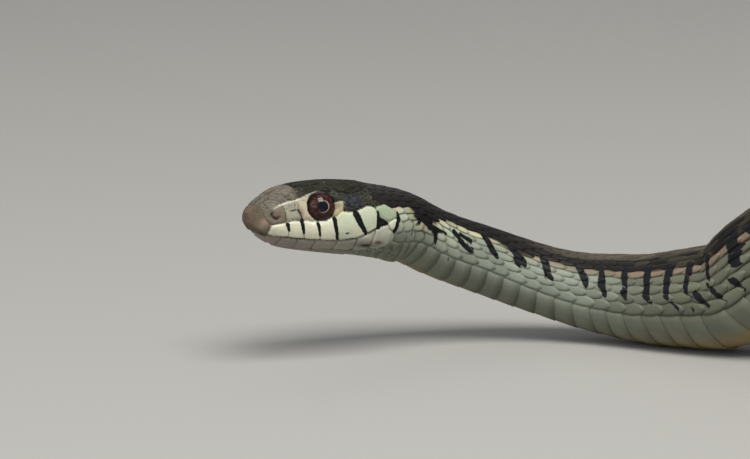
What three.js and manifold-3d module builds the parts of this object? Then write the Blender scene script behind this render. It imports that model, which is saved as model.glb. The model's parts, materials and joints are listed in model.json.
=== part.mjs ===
// A garter snake at life size, resting on the ground in a loose double coil. The neck crosses over
// the lowest coil, dips to the ground and lifts the head, which looks out level.
// Millimetres, +Z up, ground at z = 0, origin at the bottom centre of the whole snake.
import * as THREE from "three";
import { mergeVertices } from "three/addons/utils/BufferGeometryUtils.js";
import Module from "manifold-3d";

const wasm = await Module();
wasm.setup();

// Driving dimensions. Places along the snake are distances from the tip of the snout.
const snoutToVent = 604;
const totalLength = 782;
const headLength = 22;
const gap = 0.3; // between neighbouring pieces
const bellySag = 0.25; // how far the belly is pressed flat where it lies
const headPitch = 4; // degrees, nose up
const stationStep = 0.5; // of the worked-out centre line

// Which way the body runs, tailwards, in degrees from +X towards +Y.
const heading = [
  [0, 33], [24, 32], [38, 18], [52, -6], [66, -28], [78, -24], [92, -14], [104, -4], [118, 4],
  [146, 9], [148, 10], [324, 269], [326, 270], [392, 270], [394, 271], [552, 449], [554, 450],
  [616, 446], [676, 470], [730, 520], [totalLength, 500],
];
// Height of the belly over the ground: the raised head, the dip, and the hump over the lowest coil.
const lift = [
  [0, 12.15], [24, 12.15], [30, 10.3], [36, 8.1], [48, 3.8], [58, 1], [66, 0.1], [75, 0.3],
  [84, 4.4], [94, 10.7], [104, 16.9], [117, 21], [130, 16], [143, 7.6], [159, 0], [totalLength, 0],
];
// Half the width, and the height of the back and the depth of the belly from the centre line.
const halfWidth = [
  [0, 0.5], [0.4, 1.3], [1, 2], [2.5, 2.75], [5, 3.5], [9, 4.5], [13, 5.4], [17, 6], [20, 5.85],
  [25, 5.1], [32, 4.75], [50, 5.2], [70, 6.8], [90, 8.2], [130, 8.9], [200, 9.4], [420, 9.6],
  [540, 8.6], [snoutToVent, 6.3], [640, 4.8], [700, 3.2], [760, 1.5], [778, 0.8], [totalLength, 0.25],
];
const backHeight = [
  [0, 0.8], [0.5, 1.3], [1.2, 1.9], [2.5, 2.9], [5, 4.15], [9, 4.8], [13, 5], [17, 4.85],
  [21, 4.35], [27, 3.5], [33, 4.3], [40, 4.6], [48, 4.75], [60, 5.8], [72, 7.1], [84, 8.2], [130, 8.7],
  [200, 9], [420, 9.2], [540, 8.2], [snoutToVent, 6], [640, 4.7], [700, 3.2], [760, 1.5],
  [778, 0.8], [totalLength, 0.25],
];
const bellyDepth = [
  [0, 0.5], [0.5, 0.95], [1.2, 1.6], [2.5, 2.6], [5, 3.75], [9, 4.4], [13, 4.85], [17, 5.3],
  [21, 5.9], [24.5, 6.5], [29, 5.8], [35, 5], [48, 5], [60, 6], [72, 7.2], [84, 8.3], [130, 8.8],
  [200, 9], [420, 9.2], [540, 8.2], [snoutToVent, 5.8], [640, 4.6], [700, 3.1], [760, 1.5], [778, 0.8],
  [totalLength, 0.25],
];
// How square the section is over and under the centre line, 2 being an ellipse.
const backSquareness = [[0, 2.3], [10, 2.5], [24, 2.1], [totalLength, 2.05]];
const bellySquareness = [[0, 2.1], [totalLength, 2.15]];

// A smooth curve through keys that never overshoots them.
function smooth(keys) {
  const x = keys.map((k) => k[0]);
  const y = keys.map((k) => k[1]);
  const n = x.length;
  const h = x.slice(1).map((v, i) => v - x[i]);
  const d = h.map((v, i) => (y[i + 1] - y[i]) / v);
  const m = x.map((_, i) => {
    if (i === 0) return d[0];
    if (i === n - 1) return d[n - 2];
    if (d[i - 1] * d[i] <= 0) return 0;
    const before = 2 * h[i] + h[i - 1];
    const after = h[i] + 2 * h[i - 1];
    return (before + after) / (before / d[i - 1] + after / d[i]);
  });
  return (at) => {
    const v = Math.min(Math.max(at, x[0]), x[n - 1]);
    let i = 0;
    while (i < n - 2 && v >= x[i + 1]) i += 1;
    const t = (v - x[i]) / h[i];
    const t2 = t * t;
    const t3 = t2 * t;
    return (
      (2 * t3 - 3 * t2 + 1) * y[i] + (t3 - 2 * t2 + t) * h[i] * m[i] +
      (3 * t2 - 2 * t3) * y[i + 1] + (t3 - t2) * h[i] * m[i + 1]
    );
  };
}

const degrees = Math.PI / 180;
const headingAt = smooth(heading);
const liftAt = smooth(lift);
const widthAt = smooth(halfWidth);
const backAt = smooth(backHeight);
const bellyAt = smooth(bellyDepth);
const backPowerAt = smooth(backSquareness);
const bellyPowerAt = smooth(bellySquareness);

// The height of the centre line: straight through the head, then the belly's height and depth.
function centreHeights(count) {
  const nape = 24; // the head's axis is straight as far as here
  const softness = 4; // rounds the join of head and neck
  const easeStart = 6; // the heights are left as they are before here
  const easeEnd = 40;
  const easeLength = 10;
  const sagStart = 30; // the belly is pressed flat only behind here
  const raw = [];
  for (let i = 0; i < count; i += 1) {
    const s = i * stationStep;
    const straight = liftAt(nape) + bellyAt(nape) + (nape - s) * Math.tan(headPitch * degrees);
    raw.push(s < nape ? straight : liftAt(s) + bellyAt(s) - (s > sagStart ? bellySag : 0));
  }
  const reach = softness / stationStep;
  return raw.map((z, i) => {
    const s = i * stationStep;
    const share = Math.min(Math.max((easeEnd - s) / easeLength, 0), 1);
    if (s < easeStart || share === 0) return z;
    let sum = 0;
    let weights = 0;
    for (let k = -reach; k <= reach; k += 1) {
      const weight = 0.5 + 0.5 * Math.cos((Math.PI * k) / reach);
      sum += weight * raw[Math.max(i + k, 0)];
      weights += weight;
    }
    return z * (1 - share) + (sum / weights) * share;
  });
}

// The centre line, with its direction, its left-hand side and its upward side at each station.
function spineStations() {
  const count = Math.round(totalLength / stationStep) + 1;
  const z = centreHeights(count);
  const stations = [];
  let last = null;
  const place = new THREE.Vector3(0, 0, 0);
  for (let i = 0; i < count; i += 1) {
    const lo = Math.max(i - 1, 0);
    const hi = Math.min(i + 1, count - 1);
    const climb = (z[hi] - z[lo]) / ((hi - lo) * stationStep);
    const level = Math.sqrt(1 - climb * climb);
    const angle = headingAt(i * stationStep) * degrees;
    const run = new THREE.Vector3(level * Math.cos(angle), level * Math.sin(angle), climb);
    if (last) {
      place.x += ((run.x + last.x) / 2) * stationStep;
      place.y += ((run.y + last.y) / 2) * stationStep;
    }
    last = run;
    const along = run.clone().normalize();
    const left = new THREE.Vector3(Math.sin(angle), -Math.cos(angle), 0);
    const up = new THREE.Vector3().crossVectors(along, left);
    if (up.z < 0) up.negate();
    stations.push({ place: new THREE.Vector3(place.x, place.y, z[i]), along, left, up });
  }
  return stations;
}
const stations = spineStations();

function frameAt(s) {
  const t = Math.min(Math.max(s / stationStep, 0), stations.length - 1);
  const i = Math.min(Math.floor(t), stations.length - 2);
  const mix = (key) => stations[i][key].clone().lerp(stations[i + 1][key], t - i);
  return { place: mix("place"), along: mix("along"), left: mix("left"), up: mix("up") };
}

// A point of the snake's frame: s along it, b to its left, c above the centre line.
function inFrame(s, b, c) {
  const f = frameAt(s);
  return f.place.addScaledVector(f.left, b).addScaledVector(f.up, c);
}

const signedPower = (v, p) => Math.sign(v) * Math.abs(v) ** p;

// A point of the skin: turn is 0 on the back, 90 on the left flank and 180 on the belly.
function onSkin(s, turn, raise = 0) {
  const angle = turn * degrees;
  const sine = Math.sin(angle);
  const cosine = Math.cos(angle);
  const power = 2 / (cosine >= 0 ? backPowerAt(s) : bellyPowerAt(s));
  const reach = cosine >= 0 ? backAt(s) : bellyAt(s);
  const b = signedPower(sine, power) * (widthAt(s) + raise);
  const c = signedPower(cosine, power) * (reach + raise);
  const p = inFrame(s, b, c);
  p.z = Math.max(p.z, 0);
  return p;
}

// A closed solid from vertices and faces, turned the right way out.
function solid(points, faces) {
  let volume = 0;
  faces.forEach(([i, j, k]) => {
    volume += points[i].dot(new THREE.Vector3().crossVectors(points[j], points[k]));
  });
  const turned = volume < 0 ? faces.map(([i, j, k]) => [i, k, j]) : faces;
  return new wasm.Manifold(
    new wasm.Mesh({
      numProp: 3,
      vertProperties: new Float32Array(points.flatMap((p) => [p.x, p.y, p.z])),
      triVerts: new Uint32Array(turned.flat()),
    }),
  );
}

// A slab between two matching sheets of points; the faces are those of the first sheet.
function slab(outer, inner, sheet) {
  const n = outer.length;
  const faces = [...sheet, ...sheet.map(([i, j, k]) => [i + n, k + n, j + n])];
  const edges = new Set(sheet.flatMap(([i, j, k]) => [`${i},${j}`, `${j},${k}`, `${k},${i}`]));
  edges.forEach((edge) => {
    const [i, j] = edge.split(",").map(Number);
    if (!edges.has(`${j},${i}`)) faces.push([i, i + n, j + n], [i, j + n, j]);
  });
  return solid([...outer, ...inner], faces);
}

function solidOfGeometry(geometry) {
  geometry.deleteAttribute("normal");
  geometry.deleteAttribute("uv");
  const merged = mergeVertices(geometry, 1e-4);
  return new wasm.Manifold(
    new wasm.Mesh({
      numProp: 3,
      vertProperties: new Float32Array(merged.attributes.position.array),
      triVerts: new Uint32Array(merged.index.array),
    }),
  );
}

// A length of the snake through the given stations, closed by a fan at each end.
function loft(places, sides) {
  const points = [];
  const faces = [];
  const turns = Array.from({ length: sides }, (_, j) => (360 * (j + 0.5)) / sides);
  places.forEach((s) => turns.forEach((turn) => points.push(onSkin(s, turn))));
  for (let i = 0; i + 1 < places.length; i += 1) {
    for (let j = 0; j < sides; j += 1) {
      const a = i * sides + j;
      const b = i * sides + ((j + 1) % sides);
      faces.push([a, b, b + sides], [a, b + sides, a + sides]);
    }
  }
  [0, places.length - 1].forEach((ring) => {
    const hub = points.length;
    points.push(frameAt(places[ring]).place);
    for (let j = 0; j < sides; j += 1) {
      const a = ring * sides + j;
      const b = ring * sides + ((j + 1) % sides);
      faces.push(ring === 0 ? [b, a, hub] : [a, b, hub]);
    }
  });
  return solid(points, faces);
}

function spread(from, to, step) {
  const count = Math.max(1, Math.round((to - from) / step));
  return Array.from({ length: count + 1 }, (_, i) => from + ((to - from) * i) / count);
}

// Head shields as outlines on the skin: distance from the snout tip, and turn from the midline of
// the back. Those of the left side are repeated on the right.
const mouthTurn = 121;
const shields = {
  internasal: [[1.4, 3], [1.2, 24], [2.7, 23], [3.2, 3]],
  prefrontal: [[3.4, 3], [2.9, 25], [4.1, 53], [6.1, 50], [6.4, 21], [6.2, 3]],
  supraocular: [[6.8, 23], [6.6, 48], [8.6, 43], [10, 34], [11.2, 33], [11.1, 18]],
  parietal: [[12.5, 3], [11.4, 17], [11.5, 33], [12.7, 45], [15, 41], [17.2, 24], [17.6, 3]],
  nasal: [[1.4, 29], [2.6, 28], [3.8, 55], [4.4, 88], [2.6, 99], [1.6, 75]],
  loreal: [[4.3, 60], [6, 57], [6.5, 85], [4.7, 88]],
  preocular: [[6.2, 55], [7.6, 53], [7.4, 85], [6.8, 86]],
  upperPostocular: [[11.5, 36], [12.6, 47], [12.4, 59], [11.6, 58]],
  lowerPostocular: [[11.7, 61], [12.4, 61], [12.1, 75], [11.3, 82]],
  firstTemporal: [[12.8, 48], [12.5, 74], [14.1, 75], [15.6, 66], [15.1, 44]],
  secondTemporal: [[15.4, 43], [15.9, 65], [17, 67], [18.6, 63], [17.5, 28]],
  labial1: [[2.7, 102], [4.5, 93], [5, mouthTurn], [2.9, mouthTurn + 8]],
  labial2: [[4.8, 93], [6.7, 90], [7.3, mouthTurn], [5.3, mouthTurn]],
  labial3: [[7, 90], [8.9, 98], [9.7, mouthTurn], [7.6, mouthTurn]],
  labial4: [[9.1, 98], [11, 88], [12.2, mouthTurn], [10, mouthTurn]],
  labial5: [[11.2, 87], [12.2, 79], [14, 79], [16, 107], [12.5, mouthTurn - 1]],
  labial6: [[14.4, 78], [15.7, 69], [16.9, 71], [17.3, 82], [17.2, 96], [16.3, 104]],
  labial7: [[17.7, 68], [18.9, 66], [20.6, 75], [20.8, 84], [19.5, 88], [17.6, 95]],
};
const frontal = [[6.5, 0], [6.8, 20], [8.4, 20], [11.2, 15], [12.3, 0], [11.2, -15], [8.4, -20], [6.8, -20]];
const shieldRaise = 0.16;
const shieldRoot = -0.7;

// A raised shield: its outline cut into triangles, each split in four so that it follows the skin.
function shield(outline) {
  const flat = outline.map(([s, turn]) => new THREE.Vector2(s, turn));
  const corners = THREE.ShapeUtils.triangulateShape(flat, []);
  const places = outline.map((p) => [...p]);
  const middles = new Map();
  const middle = (i, j) => {
    const key = [Math.min(i, j), Math.max(i, j)].join();
    if (!middles.has(key)) {
      middles.set(key, places.length);
      places.push([(places[i][0] + places[j][0]) / 2, (places[i][1] + places[j][1]) / 2]);
    }
    return middles.get(key);
  };
  const split = corners.flatMap(([i, j, k]) => {
    const [a, b, c] = [middle(i, j), middle(j, k), middle(k, i)];
    return [[i, a, c], [a, j, b], [c, b, k], [a, b, c]];
  });
  const outer = places.map(([s, turn]) => onSkin(s, turn, shieldRaise));
  const root = places.map(([s, turn]) => onSkin(s, turn, shieldRoot));
  return slab(outer, root, split);
}

// The line of the mouth seen from the side, from the snout back to the corner under the temple:
// distance from the tip, and height against the centre line.
const mouthLine = [
  [-1.5, -1.5], [0.8, -1.6], [2.2, -1.95], [4.1, -2.2], [7.4, -2.5], [9.8, -2.6], [12.5, -2.65],
  [14.8, -2.3], [17, -1.2], [19, -0.3],
];
const jawHinge = [19.3, -0.5]; // the slit turns down here, across the throat
const throatCut = [18.8, -8];

// The slit between head and lower jaw, as wide as the snake and right through it.
function mouthSlit() {
  const reach = 9; // to each side, more than half the width of the head
  const upper = [...mouthLine.map(([s, c]) => [s, c + gap / 2]), [jawHinge[0] + gap / 2, jawHinge[1]]];
  const lower = [...mouthLine.map(([s, c]) => [s, c - gap / 2]), [jawHinge[0] - gap / 2, jawHinge[1] - gap]];
  const outline = [
    ...upper, [throatCut[0] + gap / 2, throatCut[1]], [throatCut[0] - gap / 2, throatCut[1]],
    ...lower.reverse(),
  ];
  const head = frameAt(headLength / 2);
  const nose = frameAt(0).place;
  const place = (s, b, c) => nose.clone().addScaledVector(head.along, s)
    .addScaledVector(head.left, b).addScaledVector(head.up, c);
  const faces = THREE.ShapeUtils.triangulateShape(outline.map(([s, c]) => new THREE.Vector2(s, c)), []);
  const side = (b) => outline.map(([s, c]) => place(s, b, c));
  return slab(side(reach), side(-reach), faces);
}

// Eyes and nostrils: distance from the tip, out from the midline, over the centre line.
const eye = { s: 9.8, b: 3.15, c: 1.9, radius: 2.2 };
const nostril = { s: 3.2, b: 3.15, c: 0.85, radius: 0.42 };

function ball({ s, b, c, radius }, side, grow, facets) {
  const centre = inFrame(s, b * side, c);
  const geometry = new THREE.SphereGeometry(radius + grow, facets, facets / 2);
  geometry.translate(centre.x, centre.y, centre.z);
  return solidOfGeometry(geometry);
}

function mirrored(outline) {
  return outline.map(([s, turn]) => [s, -turn]);
}

const headSides = 36;
const snoutStations = [0.04, 0.25, 0.6, 1.1, 1.8, 2.7, 3.8];
const headStep = 1.4; // between the head's stations behind those of the snout
const socketFacets = 24;
const eyeFacets = 22;
const nostrilFacets = 10;

function headAndJaw() {
  const places = [...snoutStations, ...spread(5, headLength - gap / 2, headStep)];
  const outlines = [frontal, ...Object.values(shields), ...Object.values(shields).map(mirrored)];
  const plated = wasm.Manifold.union([loft(places, headSides), ...outlines.map(shield)]);
  const cuts = [mouthSlit()];
  [1, -1].forEach((side) => {
    cuts.push(ball(eye, side, gap, socketFacets), ball(nostril, side, 0, nostrilFacets));
  });
  const pieces = wasm.Manifold.difference([plated, ...cuts]).decompose();
  pieces.sort((p, q) => q.volume() - p.volume());
  return pieces.slice(0, 2);
}

// The body behind the head, in lengths named from the neck to the tip of the tail.
const lengths = [
  ["neck", 58], ["body_01", 102], ["body_02", 148], ["body_03", 206], ["body_04", 264],
  ["body_05", 322], ["body_06", 384], ["body_07", 442], ["body_08", 500], ["body_09", 556],
  ["body_10", snoutToVent], ["tail_1", 660], ["tail_2", 720], ["tail_3", totalLength],
];

function meshOf(name, made, look) {
  const mesh = made.getMesh();
  const stride = mesh.numProp;
  const flat = new Float32Array(mesh.numVert * 3);
  for (let i = 0; i < mesh.numVert; i += 1) {
    flat.set(mesh.vertProperties.subarray(i * stride, i * stride + 3), i * 3);
  }
  const geometry = new THREE.BufferGeometry();
  geometry.setAttribute("position", new THREE.BufferAttribute(flat, 3));
  geometry.setIndex(new THREE.BufferAttribute(new Uint32Array(mesh.triVerts), 1));
  geometry.computeVertexNormals();
  const part = new THREE.Mesh(geometry, new THREE.MeshStandardMaterial(look));
  part.name = name;
  return part;
}

const finish = {
  crown: { color: 0x4a4a3c, roughness: 0.5, metalness: 0 },
  jaw: { color: 0xb3ad9b, roughness: 0.5, metalness: 0 },
  iris: { color: 0x351612, roughness: 0.1, metalness: 0 },
  body: { color: 0x35352f, roughness: 0.55, metalness: 0 },
};

const snake = new THREE.Group();
const [head, lowerJaw] = headAndJaw();
snake.add(meshOf("head", head, finish.crown), meshOf("lower_jaw", lowerJaw, finish.jaw));
[["eye_left", 1], ["eye_right", -1]].forEach(([name, side]) => {
  snake.add(meshOf(name, ball(eye, side, 0, eyeFacets), finish.iris));
});

const bodySides = 22;
const bodyStep = 4.4;
const tailSides = 14;
const tailStep = 5.5;
let from = headLength;
lengths.forEach(([name, to]) => {
  const tail = name.startsWith("tail");
  const end = to === totalLength ? to : to - gap / 2;
  const places = spread(from + gap / 2, end, tail ? tailStep : bodyStep);
  snake.add(meshOf(name, loft(places, tail ? tailSides : bodySides), finish.body));
  from = to;
});

// The origin goes to the bottom centre.
const box = new THREE.Box3().setFromObject(snake);
snake.position.set(-(box.min.x + box.max.x) / 2, -(box.min.y + box.max.y) / 2, 0);

export default snake;
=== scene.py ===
# The look of a life-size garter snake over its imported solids: skin, head shields, scales, eyes.
import json
import math
import bpy
import numpy as np
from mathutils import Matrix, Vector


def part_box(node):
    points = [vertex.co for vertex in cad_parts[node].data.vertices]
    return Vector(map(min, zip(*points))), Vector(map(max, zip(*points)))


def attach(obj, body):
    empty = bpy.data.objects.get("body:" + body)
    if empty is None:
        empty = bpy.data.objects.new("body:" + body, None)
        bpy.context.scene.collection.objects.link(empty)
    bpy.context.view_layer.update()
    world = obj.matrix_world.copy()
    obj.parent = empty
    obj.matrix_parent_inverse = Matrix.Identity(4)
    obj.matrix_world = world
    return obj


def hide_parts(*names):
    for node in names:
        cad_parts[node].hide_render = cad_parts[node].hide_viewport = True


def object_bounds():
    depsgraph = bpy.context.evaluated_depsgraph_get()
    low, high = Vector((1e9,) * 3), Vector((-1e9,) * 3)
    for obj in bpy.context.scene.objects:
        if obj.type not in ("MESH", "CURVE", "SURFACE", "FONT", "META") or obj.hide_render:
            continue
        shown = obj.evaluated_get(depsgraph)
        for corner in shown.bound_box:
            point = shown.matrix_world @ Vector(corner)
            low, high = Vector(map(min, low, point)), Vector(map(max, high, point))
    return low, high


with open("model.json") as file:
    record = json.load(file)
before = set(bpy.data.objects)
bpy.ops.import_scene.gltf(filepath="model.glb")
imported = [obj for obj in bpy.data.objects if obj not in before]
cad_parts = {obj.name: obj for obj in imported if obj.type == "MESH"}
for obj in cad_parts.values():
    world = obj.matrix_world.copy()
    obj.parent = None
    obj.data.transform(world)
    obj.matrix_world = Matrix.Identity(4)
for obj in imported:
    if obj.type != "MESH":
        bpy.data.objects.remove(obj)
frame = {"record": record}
cadLow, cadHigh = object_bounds()
record = frame["record"]
mm = 0.001

# Places on the snake: s runs from the tip of the snout in mm, turn is degrees from the midline of
# the back, 90 on the left flank and 180 on the belly.
snake = {
    "length": 782,
    "vent": 604,
    "headPitch": 4,
    "step": 0.5,
    "bellySag": 0.25,
    "heading": [(0, 33), (24, 32), (38, 18), (52, -6), (66, -28), (78, -24), (92, -14), (104, -4), (118, 4),
        (146, 9), (148, 10), (324, 269), (326, 270), (392, 270), (394, 271), (552, 449), (554, 450),
        (616, 446), (676, 470), (730, 520), (782, 500)],
    "lift": [(0, 12.15), (24, 12.15), (30, 10.3), (36, 8.1), (48, 3.8), (58, 1), (66, 0.1), (75, 0.3),
        (84, 4.4), (94, 10.7), (104, 16.9), (117, 21), (130, 16), (143, 7.6), (159, 0), (782, 0)],
    "halfWidth": [(0, 0.5), (0.4, 1.3), (1, 2), (2.5, 2.75), (5, 3.5), (9, 4.5), (13, 5.4), (17, 6),
        (20, 5.85), (25, 5.1), (32, 4.75), (50, 5.2), (70, 6.8), (90, 8.2), (130, 8.9), (200, 9.4),
        (420, 9.6), (540, 8.6), (604, 6.3), (640, 4.8), (700, 3.2), (760, 1.5), (778, 0.8), (782, 0.25)],
    "back": [(0, 0.8), (0.5, 1.3), (1.2, 1.9), (2.5, 2.9), (5, 4.15), (9, 4.8), (13, 5), (17, 4.85),
        (21, 4.35), (27, 3.5), (33, 4.3), (40, 4.6), (48, 4.75), (60, 5.8), (72, 7.1), (84, 8.2),
        (130, 8.7), (200, 9), (420, 9.2), (540, 8.2), (604, 6), (640, 4.7), (700, 3.2), (760, 1.5),
        (778, 0.8), (782, 0.25)],
    "belly": [(0, 0.5), (0.5, 0.95), (1.2, 1.6), (2.5, 2.6), (5, 3.75), (9, 4.4), (13, 4.85), (17, 5.3),
        (21, 5.9), (24.5, 6.5), (29, 5.8), (35, 5), (48, 5), (60, 6), (72, 7.2), (84, 8.3), (130, 8.8),
        (200, 9), (420, 9.2), (540, 8.2), (604, 5.8), (640, 4.6), (700, 3.1), (760, 1.5), (778, 0.8),
        (782, 0.25)],
    "backPower": [(0, 2.3), (10, 2.5), (24, 2.1), (782, 2.05)],
    "bellyPower": [(0, 2.1), (782, 2.15)],
}


def smoothCurve(keys):
    x, y = np.array(keys, float).T
    h = np.diff(x)
    d = np.diff(y) / h
    m = np.zeros(len(x))
    m[0] = d[0]
    m[-1] = d[-1]
    for i in range(1, len(x) - 1):
        if d[i - 1] * d[i] > 0:
            before = 2 * h[i] + h[i - 1]
            after = h[i] + 2 * h[i - 1]
            m[i] = (before + after) / (before / d[i - 1] + after / d[i])

    def at(value):
        v = np.clip(value, x[0], x[-1])
        i = np.clip(np.searchsorted(x, v, side="right") - 1, 0, len(x) - 2)
        t = (v - x[i]) / h[i]
        t2 = t * t
        t3 = t2 * t
        rising = (2 * t3 - 3 * t2 + 1) * y[i] + (3 * t2 - 2 * t3) * y[i + 1]
        return rising + (t3 - 2 * t2 + t) * h[i] * m[i] + (t3 - t2) * h[i] * m[i + 1]
    return at


def ease(x):
    x = np.clip(x, 0, 1)
    return x * x * (3 - 2 * x)


curves = {name: smoothCurve(keys) for name, keys in snake.items() if isinstance(keys, list)}
neck = {"nape": 24, "sagFrom": 30, "softFrom": 6, "softTo": 40, "softFade": 10, "softReach": 4}


def centreHeights(s):  # straight through the head, then lying or lifted, and softened between the two
    nape = neck["nape"]
    softReach = int(neck["softReach"] / snake["step"])
    atNape = curves["lift"](nape) + curves["belly"](nape)
    straight = atNape + (nape - s) * math.tan(math.radians(snake["headPitch"]))
    lying = curves["lift"](s) + curves["belly"](s) - snake["bellySag"] * (s > neck["sagFrom"])
    raw = np.where(s < nape, straight, lying)
    weights = 0.5 + 0.5 * np.cos(np.pi * np.arange(-softReach, softReach + 1) / softReach)
    soft = np.convolve(np.pad(raw, softReach, mode="edge"), weights / weights.sum(), mode="valid")
    softness = np.clip((neck["softTo"] - s) / neck["softFade"], 0, 1)
    share = np.where(s < neck["softFrom"], 0, softness)
    return raw * (1 - share) + soft * share


def centreLine():
    step = snake["step"]
    leastLevel = 0.05
    s = np.arange(0, snake["length"] + step / 2, step)
    z = centreHeights(s)
    climb = np.gradient(z, step)
    level = np.sqrt(np.maximum(leastLevel, 1 - climb * climb))
    angle = np.radians(curves["heading"](s))
    run = np.stack([level * np.cos(angle), level * np.sin(angle), climb], 1)
    flat = np.vstack([np.zeros(2), np.cumsum((run[1:, :2] + run[:-1, :2]) / 2 * step, axis=0)])
    along = run / np.linalg.norm(run, axis=1)[:, None]
    left = np.stack([np.sin(angle), -np.cos(angle), 0 * angle], 1)
    up = np.cross(along, left)
    up *= np.sign(up[:, 2])[:, None]
    return {"s": s, "place": np.column_stack([flat, z]), "left": left, "up": up, "along": along}


line = centreLine()


def lineAt(key, s):
    return np.stack([np.interp(s, line["s"], line[key][:, k]) for k in range(3)], -1)


eye = {"s": 9.8, "b": 3.15, "c": 1.9, "radius": 2.2, "gaze": (17, 9.5), "opening": (14, 14),
       "openRadius": 1.92, "lid": 0.2, "reach": 0.3, "cover": 0.05, "sunk": 0.25}


def besideLine(s, b, c):  # b mm to the left of the centre line and c mm above it
    aside = lineAt("left", s) * np.asarray(b)[..., None]
    return lineAt("place", s) + aside + lineAt("up", s) * np.asarray(c)[..., None]


def eyeCentre(side):
    return besideLine(eye["s"], eye["b"] * side, eye["c"])


def eyeAxis(side, ahead, upward):  # a direction from the eye, in degrees ahead and up from sideways
    forward = -lineAt("along", eye["s"]) * math.sin(math.radians(ahead))
    outward = lineAt("left", eye["s"]) * side * math.cos(math.radians(ahead))
    axis = forward + outward + lineAt("up", eye["s"]) * math.sin(math.radians(upward))
    return axis / np.linalg.norm(axis)


eyeLow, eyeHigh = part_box("eye_left")
shift = np.array([(a + b) / 2 / mm for a, b in zip(eyeLow, eyeHigh)]) - eyeCentre(1)


def fromBack(turn):  # 0 to 180 degrees from the midline of the back, on either side
    return np.abs((turn + 180) % 360 - 180)


def section(s, turn, lifted=0.0):  # the outline's place beside and above the centre line
    angle = np.radians(turn)
    sine = np.sin(angle)
    cosine = np.cos(angle)
    top = cosine >= 0
    power = 2 / np.where(top, curves["backPower"](s), curves["bellyPower"](s))
    reach = np.where(top, curves["back"](s), curves["belly"](s)) + lifted
    b = np.sign(sine) * np.abs(sine) ** power * (curves["halfWidth"](s) + lifted)
    c = np.sign(cosine) * np.abs(cosine) ** power * reach
    return b, c


def onSkin(s, turn, lifted=0.0, shrink=1.0, floor=0.0):
    b, c = section(s, turn, lifted)
    spot = besideLine(s, b * shrink, c * shrink)
    spot[:, 2] = np.maximum(spot[:, 2], floor)
    return np.clip((spot + shift) * mm, cadLow, cadHigh)


def girth(s):  # mm of skin for each degree of turn
    return (curves["halfWidth"](s) + curves["back"](s)) / 2 * math.pi / 180


# The head's shields, each an outline of (s, turn) on the left side, and its colour.
shieldsEnd = 22
snout = (0.125, 0.092, 0.064)
brow = (0.125, 0.11, 0.09)
crown = (0.009, 0.009, 0.006)
cream = (0.66, 0.65, 0.5)
lipGreen = (0.52, 0.565, 0.42)
# The jaw and chin colours below are partly their own greyish pink and partly painted shade under the head.
jawPink = (0.235, 0.2, 0.172)
jawRear = (0.3, 0.3, 0.25)
jawCorner = (0.42, 0.43, 0.34)
headPlates = {
    "internasal": (brow, [(1.35, 1.5), (1.3, 25), (2.7, 23), (3.25, 1.5)]),
    "prefrontal": (brow, [(3.5, 1.5), (2.95, 25), (4.15, 52), (6.15, 49), (6.45, 21), (6.3, 1.5)]),
    "supraocular": (crown, [(6.75, 22), (6.5, 47), (8.6, 43), (10, 35), (11.3, 36), (11.3, 17)]),
    "parietal": (crown, [(12.6, 1.5), (11.5, 17), (11.6, 33), (12.9, 45), (15.2, 41), (17.3, 25),
        (17.9, 1.5)]),
    "nasal": ((0.165, 0.15, 0.115), [(1.6, 29), (2.7, 28), (3.9, 55), (4.35, 88), (2.7, 99), (1.75, 76)]),
    "loreal": ((0.33, 0.31, 0.235), [(4.4, 60), (6, 57), (6.55, 85), (4.65, 89)]),
    "preocular": ((0.4, 0.35, 0.26), [(6.2, 55), (8, 51), (7.9, 68), (7.9, 86), (6.85, 86)]),
    "upperPostocular": ((0.03, 0.03, 0.026), [(11.6, 38), (12.7, 47), (12.5, 59), (11.75, 59)]),
    "lowerPostocular": ((0.36, 0.33, 0.22), [(11.75, 62), (12.5, 61), (12.2, 76), (11.4, 83)]),
    "firstTemporal": ((0.02, 0.021, 0.024), [(12.9, 49), (12.7, 75), (14.2, 75), (15.6, 66), (15.1, 44)]),
    "secondTemporal": ((0.018, 0.018, 0.016), [(15.4, 43), (15.9, 64), (17, 66), (18.6, 61), (17.6, 28)]),
    "labial1": (cream, [(2.65, 102), (4.5, 93), (5.05, 121), (2.6, 136)]),
    "labial2": (cream, [(4.75, 93), (6.65, 90), (7.35, 123), (5.3, 121)]),
    "labial3": (cream, [(6.95, 90), (8.9, 97), (9.75, 125), (7.6, 123)]),
    "labial4": (cream, [(9.15, 97), (10.9, 88), (12.25, 123), (10.05, 125)]),
    "labial5": (lipGreen, [(11.15, 87), (12.2, 79), (14, 79), (16.05, 109), (12.55, 122)]),
    "labial6": ((0.46, 0.5, 0.37), [(14.5, 78), (15.7, 69), (16.9, 71), (17.4, 82), (17.3, 96),
        (16.35, 106)]),
    "oval": ((0.31, 0.36, 0.25), [(17.75, 67), (18.9, 66), (20.6, 75), (20.85, 84), (19.7, 88),
        (18.6, 82)]),
    "wedge": ((0.55, 0.57, 0.42), [(19.4, 91), (20.7, 87), (20.9, 90), (20.4, 97), (19.8, 98)]),
    # Painted shade: the chin shields are darker, partly their own colour and partly the shade under the
    # head.
    "frontChin": (jawPink, [(4.7, 179), (4.5, 164), (8.3, 155), (9.7, 162), (9.5, 179)]),
    "rearChin": ((0.2, 0.19, 0.15), [(10, 179), (10, 163), (10.6, 152), (14.3, 152), (15, 167), (13, 179)]),
}
middlePlates = {
    "rostral": (snout, [(-0.5, -160), (-0.5, 160), (2.4, 150), (2.45, 104), (1.45, 75), (1.1, 26),
        (1.1, -26), (1.45, -75), (2.45, -104), (2.4, -150)]),
    "frontal": (crown, [(6.65, -18), (6.5, 0), (6.65, 18), (8.4, 18), (11.1, 14), (12.2, 0), (11.1, -14),
        (8.4, -18)]),
}
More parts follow.
